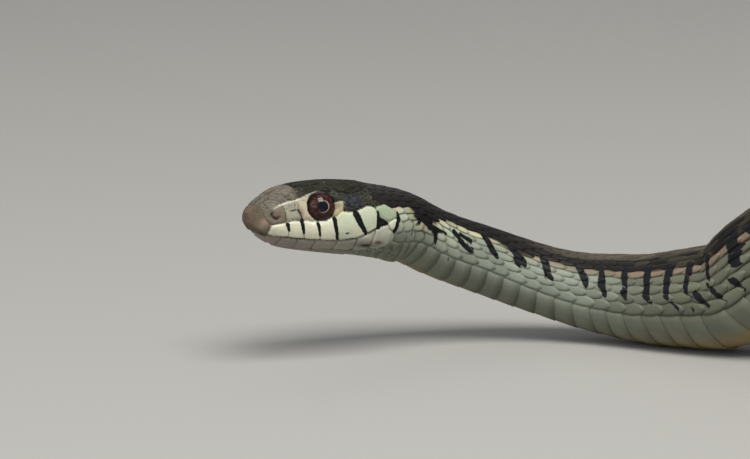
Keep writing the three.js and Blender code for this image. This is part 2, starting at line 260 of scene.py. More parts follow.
mouth = {
    "line": [(-1.5, -1.5), (0.8, -1.6), (2.2, -1.95), (4.1, -2.2), (7.4, -2.5), (9.8, -2.6), (12.5, -2.65),
        (14.8, -2.3), (17, -1.2), (19.2, -0.25)],
    "turn": [(2.2, 147), (4.1, 130), (7.4, 125), (12.5, 123), (14.8, 117), (17, 102), (19.2, 93)],
    "lowerLip": [(3.1, 172), (8.2, 150), (13.2, 141), (17, 133), (20, 122)],
    "lowerSeams": [2.4, 4.4, 6.7, 9.3, 12.3, 15, 17.4, 19.8],
    "seamGap": 0.07,
}


def allPlates():
    mouthTurn = smoothCurve(mouth["turn"])
    lipTurn = smoothCurve(mouth["lowerLip"])
    sided = dict(headPlates)
    seams = mouth["lowerSeams"]
    for number, (front, rear) in enumerate(zip(seams, seams[1:])):
        front += mouth["seamGap"]
        rear -= mouth["seamGap"]
        outline = [(front, mouthTurn(front)), (rear, mouthTurn(rear)), (rear, lipTurn(rear)),
                   (front, lipTurn(front))]
        share = number / (len(seams) - 2)
        tint = tuple(a + (b - a) * share for a, b in zip(jawPink, jawRear)) if share < 1 else jawCorner
        sided[f"lower{number}"] = (tint, outline)
    plates = list(middlePlates.values())
    for tint, outline in sided.values():
        plates.append((tint, outline))
        plates.append((tint, [(s, -turn) for s, turn in outline]))
    return plates


def toSegment(x, y, x0, y0, dx, dy):  # how far along a segment its nearest point is, and how near
    u = np.clip(((x - x0) * dx + (y - y0) * dy) / (dx * dx + dy * dy + 1e-12), 0, 1)
    return u, np.hypot(x - x0 - u * dx, y - y0 - u * dy)


def depthInside(s, turn, scale, outline):  # mm inside an outline, less than 0 outside it
    nearest = np.full(len(s), 1e3)
    inside = np.zeros(len(s), bool)
    y = turn * scale
    for (s0, turn0), (s1, turn1) in zip(outline, outline[1:] + outline[:1]):
        ds = s1 - s0
        near = toSegment(s, y, s0, turn0 * scale, ds, (turn1 - turn0) * scale)[1]
        nearest = np.minimum(nearest, near)
        if turn0 != turn1:
            inside ^= ((turn0 > turn) != (turn1 > turn)) & (s < ds * (turn - turn0) / (turn1 - turn0) + s0)
    return np.where(inside, nearest, -nearest)


def plateFields(s, turn):  # how deep inside a shield, how far from the next one, and its colour
    depth = np.full(len(s), -1.0)
    toNext = np.full(len(s), 1.0)
    tint = np.tile(np.array(crown), (len(s), 1))
    onHead = np.nonzero(s < shieldsEnd)[0]
    sh = s[onHead]
    th = (turn[onHead] + 180) % 360 - 180
    scale = girth(sh)
    away = np.abs(th)
    # The shields' edges waver by under 0.1 mm, and less at the midline of the back.
    aside = 0.07 * np.sin(2.9 * sh + 0.05 * away) * np.clip(away / 12, 0, 1) * np.sign(th)
    sh = sh + 0.08 * np.sin(1.7 * sh + 0.13 * away)
    th = th + aside / scale
    best = np.full(len(sh), -1e3)
    second = np.full(len(sh), -1e3)
    for colour, outline in allPlates():
        here = depthInside(sh, th, scale, outline)
        nearer = here > best
        second = np.where(nearer, best, np.maximum(second, here))
        best = np.where(nearer, here, best)
        tint[onHead[nearer]] = colour
    depth[onHead] = best
    toNext[onHead] = (best - second) / 2
    return depth, toNext, tint


# Black marks of the left side, mirrored on the right: (s, turn) to (s, turn), width there and there.
lipBars = [
    (4.8, 95, 5.1, 109, 0.5, 0.25), (6.7, 90, 7.25, 113, 0.62, 0.28), (9.0, 93, 9.55, 115, 0.5, 0.3),
    (11.2, 87, 12.05, 118, 0.55, 0.45), (14.2, 80, 16, 107, 0.95, 0.5), (13.1, 107, 13.5, 106, 0.3, 0.2),
    (17.6, 76, 17.8, 95, 0.45, 0.9), (18.1, 90, 19.2, 92, 1.1, 0.45), (20.95, 72, 21.2, 88, 0.5, 0.8),
    (21.2, 88, 20.7, 102, 0.8, 0.7), (23, 121, 22.2, 128, 0.25, 0.2), (5.75, 62, 5.7, 70, 0.12, 0.08),
    (5, 74, 6.1, 73, 0.12, 0.14), (6.1, 73, 6.5, 81, 0.3, 0.2), (6.5, 82, 6.75, 89, 0.14, 0.3),
    (4.4, 80, 4.6, 88, 0.1, 0.12), (12.6, 60, 12.6, 77, 0.12, 0.2), (16.1, 128, 17.1, 126, 0.26, 0.2),
    (18.1, 120, 18.5, 118, 0.18, 0.12),
]
neckBlots = [
    (24.4, 96, 24, 114, 0.5, 0.3), (25.2, 62, 25, 90, 0.9, 0.6), (27, 60, 27.7, 89, 0.4, 0.4),
    (24.5, 80, 27.5, 90, 0.7, 0.8), (27.7, 90, 30.3, 81, 0.75, 0.5), (28.7, 91, 30.2, 110, 0.6, 0.25),
    (32.7, 106, 33, 114, 0.31, 0.18), (31.5, 66, 34, 80, 0.88, 0.72), (34, 80, 35.7, 84, 0.75, 0.72),
    (35.7, 84, 35.2, 67, 0.56, 0.48), (35.2, 67, 32.4, 63, 0.5, 0.6), (37.2, 45, 39, 69, 1, 1.08),
    (39, 69, 40.3, 79, 0.88, 0.48), (41.6, 46, 44, 67, 1.12, 1.2), (43, 68, 44.3, 78, 1, 0.54),
    (44.4, 60, 45, 72, 0.75, 0.36), (47.6, 45, 49, 73, 1.5, 1.2), (49.5, 71, 50.1, 77, 0.62, 0.36),
    (53.6, 41, 55.8, 71, 1.25, 0.96), (55, 58, 55.6, 66, 1.38, 1.08), (58, 41, 58.6, 66, 0.88, 1.32),
    (58.6, 66, 59.6, 82, 1.38, 0.72), (62.1, 39, 63.2, 74, 1.38, 0.96),
    (62.8, 74, 63.8, 86, 1.12, 0.36), (66.6, 39, 67, 74, 1.38, 0.96), (66.7, 76, 67.6, 88, 1.25, 0.36),
    (70.2, 39, 70, 77, 1.38, 0.96), (69.8, 77, 70.6, 87, 1, 0.42), (71.5, 91, 72.1, 105, 0.5, 0.18),
    (73.3, 41, 72.8, 80, 1.25, 0.6), (73.3, 90, 74.4, 105, 0.5, 0.18),
    (74.4, 79, 76.2, 94, 1.25, 0.42), (78.6, 39, 77, 72, 1.5, 0.84), (77.4, 79, 78.7, 97, 1.06, 0.36),
    (83.5, 37, 82.5, 70, 1.62, 1.32), (82.2, 65, 83.3, 77, 1, 0.48), (84.6, 56, 82, 70, 0.88, 0.6),
    (80.8, 80, 81.8, 100, 1.06, 0.42),
]
darkEdge = smoothCurve([  # where the dark back ends, seen from above
    (16, 58), (17.5, 66), (20.7, 69), (21.6, 62), (22.6, 63), (23.3, 70), (24.2, 86), (25.7, 90),
    (27, 88), (27.8, 78), (28.5, 64), (32, 47), (38, 48), (42.5, 52), (47, 47), (52, 43), (62, 45),
    (69, 48), (76, 43), (90, 45), (130, 55), (170, 60), (782, 60)])


spotting = {"from": 86, "bandFrom": 100, "barsTo": 130, "to": 760, "apart": 7.4, "slip": 0.5,
            "wide": 2.6, "vary": 0.3, "shrinkEnd": 790, "shrinkOver": 200, "least": 0.25}


def bodySpots():  # bars beside the band on the neck, then two rows of spots on it and one below
    chance = np.random.default_rng(11)
    spots = []
    s = spotting["from"]
    while s < spotting["to"]:
        size = float(np.clip((spotting["shrinkEnd"] - s) / spotting["shrinkOver"], spotting["least"], 1))
        at = s + spotting["slip"] * chance.standard_normal()
        wide = size * (spotting["wide"] + spotting["vary"] * chance.standard_normal())
        if s > spotting["bandFrom"]:
            spots.append((at, 26, at + 1.2 * size, 34, wide, wide))
            spots.append((at + 3.6 * size, 46, at + 4.6 * size, 54, wide, wide))
        onNeck = s < spotting["barsTo"]
        for step in ((0.0, 3.6) if onNeck else (1.8,)):
            at = s + step * size
            low = 60 + 10 * chance.random() if onNeck else 90
            top = float(darkEdge(at)) - 4 if onNeck else 83
            thick = (1.4 if onNeck else 1.5) * size
            spots.append((at, top, at + 1.2 * size, low, thick, 0.8 * size))
        if onNeck:
            spots.append((s + 1.6, 76, s + 3.4, 94, 1.1, 0.4))
        s += spotting["apart"] * size + spotting["vary"] * chance.random()
    return spots


allMarks = lipBars + neckBlots + bodySpots()


def inkAt(s, turn):  # mm inside the nearest black mark, less than 0 outside it
    farthest = 2
    t = fromBack(turn)
    scale = girth(s)
    order = np.argsort(s)
    ordered = s[order]
    ink = np.full(len(s), -1.0)
    for s0, t0, s1, t1, w0, w1 in allMarks:
        lo, hi = np.searchsorted(ordered, [min(s0, s1) - farthest, max(s0, s1) + farthest])
        near = order[lo:hi]
        if not len(near):
            continue
        k = scale[near]
        u, away = toSegment(s[near], t[near] * k, s0, t0 * k, s1 - s0, (t1 - t0) * k)
        ink[near] = np.maximum(ink[near], (w0 + (w1 - w0) * u) / 2 - away)
    return ink


bodyTints = {
    "stripe": (0.065, 0.055, 0.04),
    "rearStripe": (0.2, 0.175, 0.105),
    "dark": (0.012, 0.011, 0.01),
    "olive": (0.04, 0.035, 0.023),
    "edge": (0.4, 0.385, 0.26),
    "warmEdge": (0.19, 0.152, 0.108),
    "nape": (0.4, 0.44, 0.34),
    "flank": (0.225, 0.252, 0.205),
    # rearFlank: the lower flank's darker colour; on the neck it is partly painted shade that deepens
    # towards the tail.
    "rearFlank": (0.122, 0.128, 0.092),
    "sideStripe": (0.33, 0.33, 0.21),
    # belly and keelLine: the underside's own olive colour, made darker partly as painted shade on the
    # underside of the body.
    "belly": (0.155, 0.165, 0.125),
    "keelLine": (0.18, 0.148, 0.08),
    "rearKeel": (0.34, 0.25, 0.12),
    "between": (0.3, 0.12, 0.075),
}


# Where a colour or a form sets in, and over how far it grows to full strength. One that
# fades away has a length below 0. They are mm along the snake or degrees from the back.
fades = {
    "rearward": (95, 50), "warmEdge": (36, 14), "nape": (38, -12), "napeSide": (106, -14),
    "rearFlank": (46, 26), "belowEdge": (3, 9), "sideStripe": (80, -6), "flankSide": (76, 8),
    "belly": (96, 34), "keelLine": (150, 25), "rearKeel": (52, 26), "rearKeelSide": (122, 34),
    "band": (1.25, -2.5), "stripe": (1.5, -3), "stripeBegins": (40, 14), "redBegins": (60, 25),
    "redEnds": (150, -40), "ridgeBegins": (2.6, 0.8), "ridgeEnds": (9.8, -1.5), "lipDeepens": (0, 2.5),
    "nostrilRise": (1.5, -1), "nostrilRing": (1.55, -0.5), "snoutDirt": (7.9, -2), "dirtSide": (92, -5),
    "crownSide": (62, -10), "underHead": (104, 16), "keelBegins": (20, 14),
}


def fade(name, x):
    start, length = fades[name]
    return ease((x - start) / length)


def around(x, middle, width):  # 1 at the middle, falling away on both sides
    return np.exp(-((x - middle) / width) ** 2)


def mix(a, b, share):
    share = np.asarray(share)[..., None]
    return np.asarray(a) * (1 - share) + np.asarray(b) * share


def bodyPaint(s, turn):
    t = fromBack(turn)
    tint = bodyTints
    edge = darkEdge(s)
    rearward = fade("rearward", s)
    edgeTint = mix(tint["edge"], tint["warmEdge"], fade("warmEdge", s))
    flank = mix(tint["flank"], tint["nape"], fade("nape", s) * fade("napeSide", t))
    # Painted shade: the neck's flank darkens towards the tail, partly its own darker colour and partly
    # painted shade.
    flank = mix(flank, tint["rearFlank"], fade("rearFlank", s))
    paint = mix(edgeTint, flank, fade("belowEdge", t - edge) * (1 - 0.8 * rearward))
    paint = mix(paint, tint["sideStripe"], rearward * fade("sideStripe", t))
    paint = mix(paint, tint["rearFlank"], rearward * fade("flankSide", t))
    # Painted shade: the belly and its middle get darker, browner colours, partly their own olive underside
    # and partly painted shade.
    paint = mix(paint, tint["belly"], fade("belly", t))
    paint = mix(paint, tint["keelLine"], fade("keelLine", t))
    paint = mix(paint, tint["rearKeel"], fade("rearKeel", s) * fade("rearKeelSide", t))
    band = mix(tint["dark"], tint["olive"], rearward)
    paint = mix(paint, band, fade("band", t - edge))
    stripeEdge = np.interp(s, [50, 80, 115], [21, 17, 13])
    stripe = fade("stripe", t - stripeEdge) * fade("stripeBegins", s)
    return mix(paint, mix(tint["stripe"], tint["rearStripe"], rearward), stripe)


def deselectAll():
    bpy.ops.object.select_all(action="DESELECT")


def readPlaces(mesh):
    flat = np.empty(len(mesh.vertices) * 3)
    mesh.vertices.foreach_get("co", flat)
    return flat.reshape(-1, 3)


def writePlaces(mesh, places):
    mesh.vertices.foreach_set("co", places.astype(np.float32).ravel())
    mesh.update()


def addNumbers(mesh, name, values):
    mesh.attributes.new(name, "FLOAT", "POINT").data.foreach_set("value", values.astype(np.float32))


def addColours(mesh, name, colours):
    four = np.column_stack([colours, np.ones(len(colours))]).astype(np.float32)
    mesh.attributes.new(name, "FLOAT_COLOR", "POINT").data.foreach_set("color", four.ravel())


# The unwrap of the skin: the head and neck in one band of the sheet, the rest in four more.
bands = {"headEnd": 40, "bodyBand": 186, "count": 5}


def bandOf(s):
    return np.where(s < bands["headEnd"], 0, 1 + (s - bands["headEnd"]) // bands["bodyBand"])


def unwrapAt(s, turn, band):
    start = np.where(band == 0, 0, bands["headEnd"] + (band - 1) * bands["bodyBand"])
    length = np.where(band == 0, bands["headEnd"], bands["bodyBand"])
    u = 0.01 + 0.98 * (s - start) / length
    v = (band + 0.03 + 0.94 * turn / 360) / bands["count"]
    return np.stack([np.clip(u, 0.002, 0.998), v], -1)


def addUnwrap(mesh, corners):
    layer = mesh.uv_layers.new(name="OFBake")
    layer.data.foreach_set("uv", corners.astype(np.float32).ravel())


def cornerVertices(mesh):
    index = np.empty(len(mesh.loops), np.int32)
    mesh.loops.foreach_get("vertex_index", index)
    return index


class Wire:  # a socket that can be used in sums
    def __init__(self, tree, socket=None):
        self.tree = tree
        self.socket = socket

    def make(self, kind, settings=None, values=None, output=0):
        made = self.tree.nodes.new(kind)
        for key, value in (settings or {}).items():
            setattr(made, key, value)
        for key, value in (values or {}).items():
            if isinstance(value, Wire):
                self.tree.links.new(value.socket, made.inputs[key])
            else:
                made.inputs[key].default_value = value
        return Wire(self.tree, made.outputs[output])

    def sum(self, operation, a, b=0.0, clamp=False):
        return self.make("ShaderNodeMath", {"operation": operation, "use_clamp": clamp}, {0: a, 1: b})

    def limited(self):
        return self.sum("ADD", self, 0.0, True)

    def blend(self, a, b):  # colour a where this is 0, b where it is 1
        return self.make("ShaderNodeMix", {"data_type": "RGBA"}, {0: self, 6: a, 7: b}, 2)

    def scaled(self, colour):
        return self.make("ShaderNodeMix", {"data_type": "RGBA", "blend_type": "MULTIPLY"},
                         {0: 1.0, 6: self, 7: colour}, 2)

    def noise(self, place, scale, detail=2.0, roughness=0.5):
        return self.make("ShaderNodeTexNoise", None,
                         {"Vector": place, "Scale": scale, "Detail": detail, "Roughness": roughness})

    def named(self, name, output):
        return self.make("ShaderNodeAttribute", {"attribute_name": name}, None, output)


for name, kind in (("add", "ADD"), ("sub", "SUBTRACT"), ("mul", "MULTIPLY"), ("truediv", "DIVIDE"),
                   ("pow", "POWER")):
    setattr(Wire, f"__{name}__", lambda self, other, kind=kind: self.sum(kind, self, other))
    setattr(Wire, f"__r{name}__", lambda self, other, kind=kind: self.sum(kind, other, self))


def newMaterial(name):
    material = bpy.data.materials.new(name)
    material.use_nodes = True
    shader = material.node_tree.nodes["Principled BSDF"]
    return material, Wire(material.node_tree), shader


def plug(shader, name, wire):
    wire.tree.links.new(wire.socket, shader.inputs[name])


def objectPlace(wire):
    return wire.make("ShaderNodeTexCoord", None, None, 3)


def grey(wire):  # a number as a colour
    return wire.make("ShaderNodeCombineColor", None, {0: wire, 1: wire, 2: wire})


inkColour = (0.01, 0.01, 0.012, 1)


def inked(wire, place, colour, finish):  # the black marks, with a ragged edge
    ragged = wire.noise(place, *finish["ragged"])
    ink = wire.named("ink", 2) + (ragged - 0.5) * finish["inkSpread"]
    return (ink / finish["inkEdge"] + 0.5).limited().blend(colour, inkColour)


def surface(shader, colour, roughness, height, finish):
    strength, depth = finish["relief"]
    bump = height.make("ShaderNodeBump", None,
                       {"Strength": strength, "Distance": depth, "Height": height})
    plug(shader, "Base Color", colour)
    plug(shader, "Roughness", roughness)
    plug(shader, "Normal", bump)
    shader.inputs["Specular IOR Level"].default_value = finish["shine"]


# Noise is given as its scale, detail and roughness, relief as a strength and a depth in metres.
skinFinish = {
    "fine": (2600.0, 3.0, 0.6), "broad": (420.0,), "scratch": (5200.0, 3.0, 0.65),
    "ragged": (2200.0, 2.0, 0.6), "grain": 0.1, "cracks": 0.75, "flecks": 0.75,
    "speckle": (0.22, 0.215, 0.15, 1),
    "seamWidth": 0.11, "seamShare": 0.9, "seamColour": (0.055, 0.04, 0.032, 1), "seamRelief": 0.15,
    "inkSpread": 0.22, "inkEdge": 0.07, "relief": (0.35, 0.00008), "shine": 0.09,
}


def headSkinMaterial():
    finish = skinFinish
    material, wire, shader = newMaterial("snakeSkin")
    place = objectPlace(wire)
    tint = wire.named("tint", 0)
    seam = wire.named("seam", 2)
    mottle = wire.named("mottle", 2)
    fine = wire.noise(place, *finish["fine"])
    broad = wire.noise(place, *finish["broad"])
    stretched = wire.make("ShaderNodeMapping", None, {
        "Vector": place, "Rotation": (0, 0, math.radians(-33)), "Scale": (0.22, 1, 1)})
    scratch = wire.noise(stretched, *finish["scratch"])
    colour = tint.scaled(grey(0.72 + 0.34 * fine + 0.22 * broad))
    grain = ((scratch - 0.5) * 9.0).limited()
    colour = (mottle * grain * finish["grain"]).blend(colour, finish["speckle"])
    cracks = ((0.48 - scratch) * 10.0).limited()
    colour = colour.scaled(grey(1.0 - mottle * cracks * finish["cracks"]))
    flecks = ((fine - 0.64) * 18.0).limited()
    colour = (mottle * flecks * finish["flecks"]).blend(colour, finish["speckle"])
    line = (1.0 - seam / finish["seamWidth"]).limited()
    colour = (line * finish["seamShare"]).blend(colour, finish["seamColour"])
    colour = inked(wire, place, colour, finish)
    height = fine * 0.35 + scratch * mottle * 0.8 + (seam / finish["seamRelief"]).limited() * 0.6
    roughness = 0.45 + 0.2 * fine + 0.15 * mottle
    surface(shader, colour, roughness, height, finish)
    return material


scaleFinish = {"fine": (3200.0, 3.0, 0.6), "ragged": (900.0, 2.0, 0.55), "inkSpread": 0.55,
               "inkEdge": 0.1, "relief": (0.3, 0.00006), "shine": 0.12}


def scaleMaterial(name, gloss, broadScale):
    finish = scaleFinish
    material, wire, shader = newMaterial(name)
    place = objectPlace(wire)
    tint = wire.named("tint", 0)
    fine = wire.noise(place, *finish["fine"])
    broad = wire.noise(place, broadScale)
    colour = tint.scaled(grey(0.74 + 0.3 * fine + 0.22 * broad))
    colour = inked(wire, place, colour, finish)
    surface(shader, colour, gloss + 0.2 * fine, fine, finish)
    return material


# Skin: one closed tube. Fine rings on the head carry the shields, lips, nostrils and eye rims.
skinSizes = {"around": 208, "start": 0.1, "headEnd": 22.4, "headStep": 0.14, "bodyEnd": 770,
             "bodyStep": 3.0, "tailEnd": 781.9, "tailStep": 1.2, "bodyDepth": 0.56,
             "sunk": 0.06, "plateRise": 0.15, "plateEdge": 0.26, "tipSunk": 0.09, "tipLength": 1.5}
lips = {"width": 0.13, "groove": 0.08, "deeper": 0.18, "swell": 0.05, "swellAt": (0.35, 0.25),
        "end": 19, "ink": 0.055}
nostril = {"s": 3.15, "turn": 77, "long": 0.52, "high": 0.48, "depth": 0.3, "rise": 0.07,
           "slit": (0.95, 0.26), "ringShare": 0.85, "ringColour": (0.15, 0.105, 0.085),
           "slitColour": (0.022, 0.015, 0.013)}
ridge = {"s": [2.5, 3.5, 4.5, 5.8, 7, 8.5, 10], "turn": [64, 59, 56, 54.5, 50, 43, 36],
         "width": 0.12, "rise": 0.07, "share": 0.9, "colour": (0.64, 0.63, 0.53)}
# Where the head's shields end and the body's scales begin, by degrees from the back.
bodyBegins = {"turn": [0, 30, 62, 75, 95, 120, 180], "over": 1.2,
              "skin": [17.9, 17.8, 18.6, 20.6, 20.8, 20, 15.4],
              "scales": [17.9, 17.8, 18.6, 20.8, 21.0, 20.4, 15.6]}

coatEnds = (16, 781.5)

# How far scales stand out, against those of the middle of the body.
scaleSize = smoothCurve([(16, 0.25), (30, 0.36), (60, 0.5), (78, 0.75), (110, 1), (500, 1), (604, 0.8),
                         (700, 0.5), (782, 0.2)])
spacingAt = smoothCurve([(17, 1.35), (22, 1.7), (30, 2.4), (45, 2.9), (75, 3), (100, 3.4), (200, 4),
                         (500, 4), (604, 3.3), (640, 2.9), (700, 2.2), (760, 1.5), (782, 1.1)])
ventralEdge = smoothCurve([(16, 128), (24, 116), (40, 100), (110, 102), (200, 112), (604, 116), (782, 120)])


def mouthDistance(s, c):  # mm above the line of the mouth in side view, and how near its nearest point
    above = c - np.interp(s, *np.array(mouth["line"]).T)
    nearest = np.full(len(s), 1e3)
    for (s0, c0), (s1, c1) in zip(mouth["line"], mouth["line"][1:]):
        nearest = np.minimum(nearest, toSegment(s, c, s0, c0, s1 - s0, c1 - c0)[1])
    return above, nearest


def bodyShare(s, turn):  # 0 on the shielded head, 1 where the body's scales have begun
    t = fromBack(turn)
    begins = np.interp(t, bodyBegins["turn"], bodyBegins["skin"])
    return ease((s - begins) / bodyBegins["over"])


def shapeSkin(s, turn):
    depth, toNext, tint = plateFields(s, turn)
    body = bodyShare(s, turn)
    plate = ease(toNext / skinSizes["plateEdge"]) * ease((depth + 0.5) / 0.3)
    lifted = skinSizes["plateRise"] * plate - skinSizes["sunk"]
    above, toMouth = mouthDistance(s, section(s, turn)[1])
    groove = lips["groove"] + lips["deeper"] * fade("lipDeepens", s)
    lifted = lifted - groove * around(toMouth, 0, lips["width"])
    lifted = lifted + lips["swell"] * around(above, *lips["swellAt"]) * (s < lips["end"])
    ink = np.maximum(inkAt(s, turn), lips["ink"] - toMouth)
    t = fromBack(turn)
    across = (s - nostril["s"]) / nostril["long"]
    downward = (t - nostril["turn"]) * girth(s) / nostril["high"]
    ring = np.hypot(across, downward) * (1 + 0.1 * np.sin(3 * np.arctan2(downward, across) + 1))
    lowerRear = ease((downward - across) / (1.5 * ring + 0.01) + 0.45)
    slit = around(ring, *nostril["slit"]) * lowerRear
    lifted = lifted - nostril["depth"] * slit + nostril["rise"] * fade("nostrilRise", ring)
    tint = stained(tint, s, t)
    ringShare = fade("nostrilRing", ring) * nostril["ringShare"]
    tint = mix(tint, nostril["ringColour"], ringShare)
    tint = mix(tint, nostril["slitColour"], slit)
    ridgeHere = ridgeShare(s, t)
    tint = mix(tint, ridge["colour"], ridgeHere)
    tip = np.clip(1 - s / skinSizes["tipLength"], 0, 1)
    lifted = lifted + ridge["rise"] * ridgeHere - skinSizes["tipSunk"] * tip
    seam = np.where(body > 0.5, 1.0, toNext) + ridgeHere
    coat = -skinSizes["bodyDepth"] * scaleSize(s)
    lifted = lifted * (1 - body) + coat * body
    between = bodyPaint(s, turn) * (0.55 - 0.48 * napeShare(s, t))[:, None]
    between = mix(between, bodyTints["between"], redShare(s, t))
    tint = mix(tint, between, body)
    nape = np.where((t < 62) & (s > 17), 1.0, 0.0)
    tint = mix(tint, bodyTints["dark"], nape * (1 - body))
    dirty = 0.4 * fade("snoutDirt", s) * fade("dirtSide", t)
    blackish = (tint.max(axis=1) < 0.05) & (t < 80)
    mottle = (1 - body) * np.clip(fade("crownSide", t) * (s > 1) + dirty + blackish, 0, 1)
    # Painted shade: the head darkens towards the mouth line, partly the lip's own warmer grey and partly
    # painted shade.
    mouthwardGreyAndShade = fade("underHead", t) * (toNext < 1) * (above > 0)
    tint = tint * (1 - 0.2 * mouthwardGreyAndShade * (1 - body))[:, None]
    return lifted, tint, ink, seam, mottle


# Soft patches of colour on the head: s, turn, their reach along and around, colour and strength.
stains = [
    (2.1, 62, 0.8, 20, (0.09, 0.088, 0.062), 0.6), (0.9, 45, 0.9, 25, (0.07, 0.06, 0.04), 0.6),
    (1.6, 95, 0.5, 14, (0.34, 0.27, 0.2), 0.6), (5.2, 65, 0.8, 6, (0.19, 0.205, 0.15), 0.7),
    (6.5, 79, 0.35, 8, (0.1, 0.07, 0.05), 0.7), (7.0, 66, 0.4, 8, (0.48, 0.4, 0.28), 0.5),
    (4.4, 84, 0.3, 6, (0.17, 0.12, 0.09), 0.6), (9.2, 92, 1.6, 4, (0.82, 0.8, 0.68), 0.7),
    (12.0, 79, 0.6, 6, (0.6, 0.5, 0.24), 0.5), (14.6, 103, 1.1, 8, (0.6, 0.44, 0.34), 0.35),
    (16.7, 128, 1.5, 4.5, (0.045, 0.014, 0.01), 0.97), (18.4, 121, 0.9, 4, (0.08, 0.03, 0.02), 0.9),
    (13.8, 57, 0.7, 7, (0.03, 0.04, 0.06), 0.5), (16.6, 52, 1.0, 8, (0.05, 0.055, 0.035), 0.6),
    (12.8, 30, 1.2, 10, (0.028, 0.03, 0.017), 0.5), (9.6, 25, 1.0, 8, (0.03, 0.03, 0.019), 0.5),
    (6.4, 34, 1.2, 14, (0.05, 0.045, 0.034), 0.6), (20.2, 97, 0.5, 4, (0.66, 0.68, 0.54), 0.6),
    (16.8, 112, 1.5, 6, (0.52, 0.51, 0.41), 0.85), (18.9, 104, 0.9, 6, (0.56, 0.57, 0.46), 0.8),
    (18.6, 128, 1.2, 6, (0.22, 0.23, 0.19), 0.7), (1.5, 116, 0.8, 14, (0.3, 0.25, 0.2), 0.7),
    (11.8, 68, 0.5, 5, (0.1, 0.085, 0.06), 0.5), (5.0, 26, 0.9, 20, (0.16, 0.145, 0.12), 0.5),
]


def stained(tint, s, t):
    for s0, t0, along, aside, colour, strength in stains:
        tint = mix(tint, colour, strength * around(s, s0, along) * around(t, t0, aside))
    return tint


def ridgeShare(s, t):  # the pale ridge from the nostril to the top of the eye
    off = (t - np.interp(s, ridge["s"], ridge["turn"])) * girth(s)
    ends = fade("ridgeBegins", s) * fade("ridgeEnds", s)
    return around(off, 0, ridge["width"]) * ends * ridge["share"]


def redShare(s, t):  # reddish skin where the neck bends up
    return 0.85 * around(t - darkEdge(s), 8, 14) * fade("redBegins", s) * fade("redEnds", s)


def napeShare(s, t):  # black skin between the pale scales behind the jaw
    return around(s, 27, 6) * around(t, 72, 26)


def wrapEyes(places):  # the skin closes over the eyeball outside a round opening
    radius = eye["radius"]
    for side in (1, -1):
        axis = eyeAxis(side, *eye["opening"])
        own = places / mm - (eyeCentre(side) + shift)
        out = own @ axis
        near = np.linalg.norm(own - out[:, None] * axis, axis=1)
        over = ease((near - eye["openRadius"]) / eye["lid"])
        ball = np.sqrt(np.maximum(radius ** 2 - near ** 2, 0))
        wanted = ball + (eye["cover"] + eye["sunk"]) * over - eye["sunk"]
        moved = np.where(over <= 0, np.minimum(out, wanted), np.maximum(out, wanted))
        moved = np.where((over > 0) & (over < 1), wanted, moved)
        share = ease((radius + eye["reach"] - near) / eye["reach"]) * (out > 0)
        places += ((moved - out) * share * mm)[:, None] * axis
    return places


def makeSkin():
    sizes = skinSizes
    headRings = np.arange(sizes["start"], sizes["headEnd"], sizes["headStep"])
    bodyRings = np.arange(sizes["headEnd"], sizes["bodyEnd"], sizes["bodyStep"])
    tailRings = np.arange(sizes["bodyEnd"] + 1, sizes["tailEnd"], sizes["tailStep"])
    capShrink = [0.0, 0.35, 0.68, 0.9]
    capRings = np.full(len(capShrink), sizes["start"])
    rings = np.concatenate([capRings, headRings, bodyRings, tailRings])
    shrinkAt = np.concatenate([capShrink, np.ones(len(rings) - len(capShrink) - 1), [0.0]])
    deselectAll()
    bpy.ops.mesh.primitive_grid_add(x_subdivisions=len(rings) - 1, y_subdivisions=sizes["around"], size=2)
    skin = bpy.context.object
    skin.name = "skin"
    grid = readPlaces(skin.data)
    ring = np.rint((grid[:, 0] + 1) / 2 * (len(rings) - 1)).astype(int)
    turn = (grid[:, 1] + 1) * 180 - 180
    s = rings[ring]
    lifted, tint, ink, seam, mottle = shapeSkin(s, turn)
    writePlaces(skin.data, wrapEyes(onSkin(s, turn, lifted, shrinkAt[ring])))
    for field, values in (("ink", ink), ("seam", seam), ("mottle", mottle)):
        addNumbers(skin.data, field, values)
    addColours(skin.data, "tint", tint)
    corner = cornerVertices(skin.data)
    faceS = s[corner].reshape(-1, 4).mean(1).repeat(4)
    addUnwrap(skin.data, unwrapAt(s[corner], turn[corner] + 180, bandOf(faceS)))
    bpy.ops.object.mode_set(mode="EDIT")
    bpy.ops.mesh.select_all(action="SELECT")
    bpy.ops.mesh.remove_doubles(threshold=0.000004)
    bpy.ops.mesh.normals_make_consistent(inside=False)
    bpy.ops.object.mode_set(mode="OBJECT")
    bpy.ops.object.shade_smooth()
    return skin


# One scale: a small raised sheet with a rim. Along it x runs from root to tip, across it y.
def scaleSheet(name, along, across):
    deselectAll()
    bpy.ops.mesh.primitive_grid_add(x_subdivisions=along, y_subdivisions=across, size=2)
    sheet = bpy.context.object
    sheet.name = name
    bpy.ops.object.mode_set(mode="EDIT")
    bpy.ops.mesh.select_all(action="SELECT")
    bpy.ops.mesh.region_to_loop()
    bpy.ops.mesh.extrude_edges_move(TRANSFORM_OT_translate={"value": (0, 0, -1)})
    bpy.ops.mesh.edge_face_add()
    bpy.ops.mesh.select_all(action="SELECT")
    bpy.ops.mesh.normals_make_consistent(inside=False)
    bpy.ops.object.mode_set(mode="OBJECT")
    return sheet


def repeatSheet(sheet, rows, stations):
    for axis, count in ((0, stations), (1, rows)):
        array = sheet.modifiers.new("repeat", "ARRAY")
        array.count = count
        array.use_relative_offset = False
        array.use_constant_offset = True
        array.constant_offset_displace = tuple(3 if k == axis else 0 for k in range(3))
        bpy.ops.object.modifier_apply(modifier=array.name)


def stationPlaces():
    step = 0.1
    fine = np.arange(coatEnds[0], snake["length"], step)
    count = np.concatenate([[0], np.cumsum(step / spacingAt(fine[:-1]))])
    return fine, count


stationS, stationCount = stationPlaces()


def stationAt(number):
    return np.interp(number, stationCount, stationS)


def numberAt(s):
    return float(np.interp(s, stationS, stationCount))


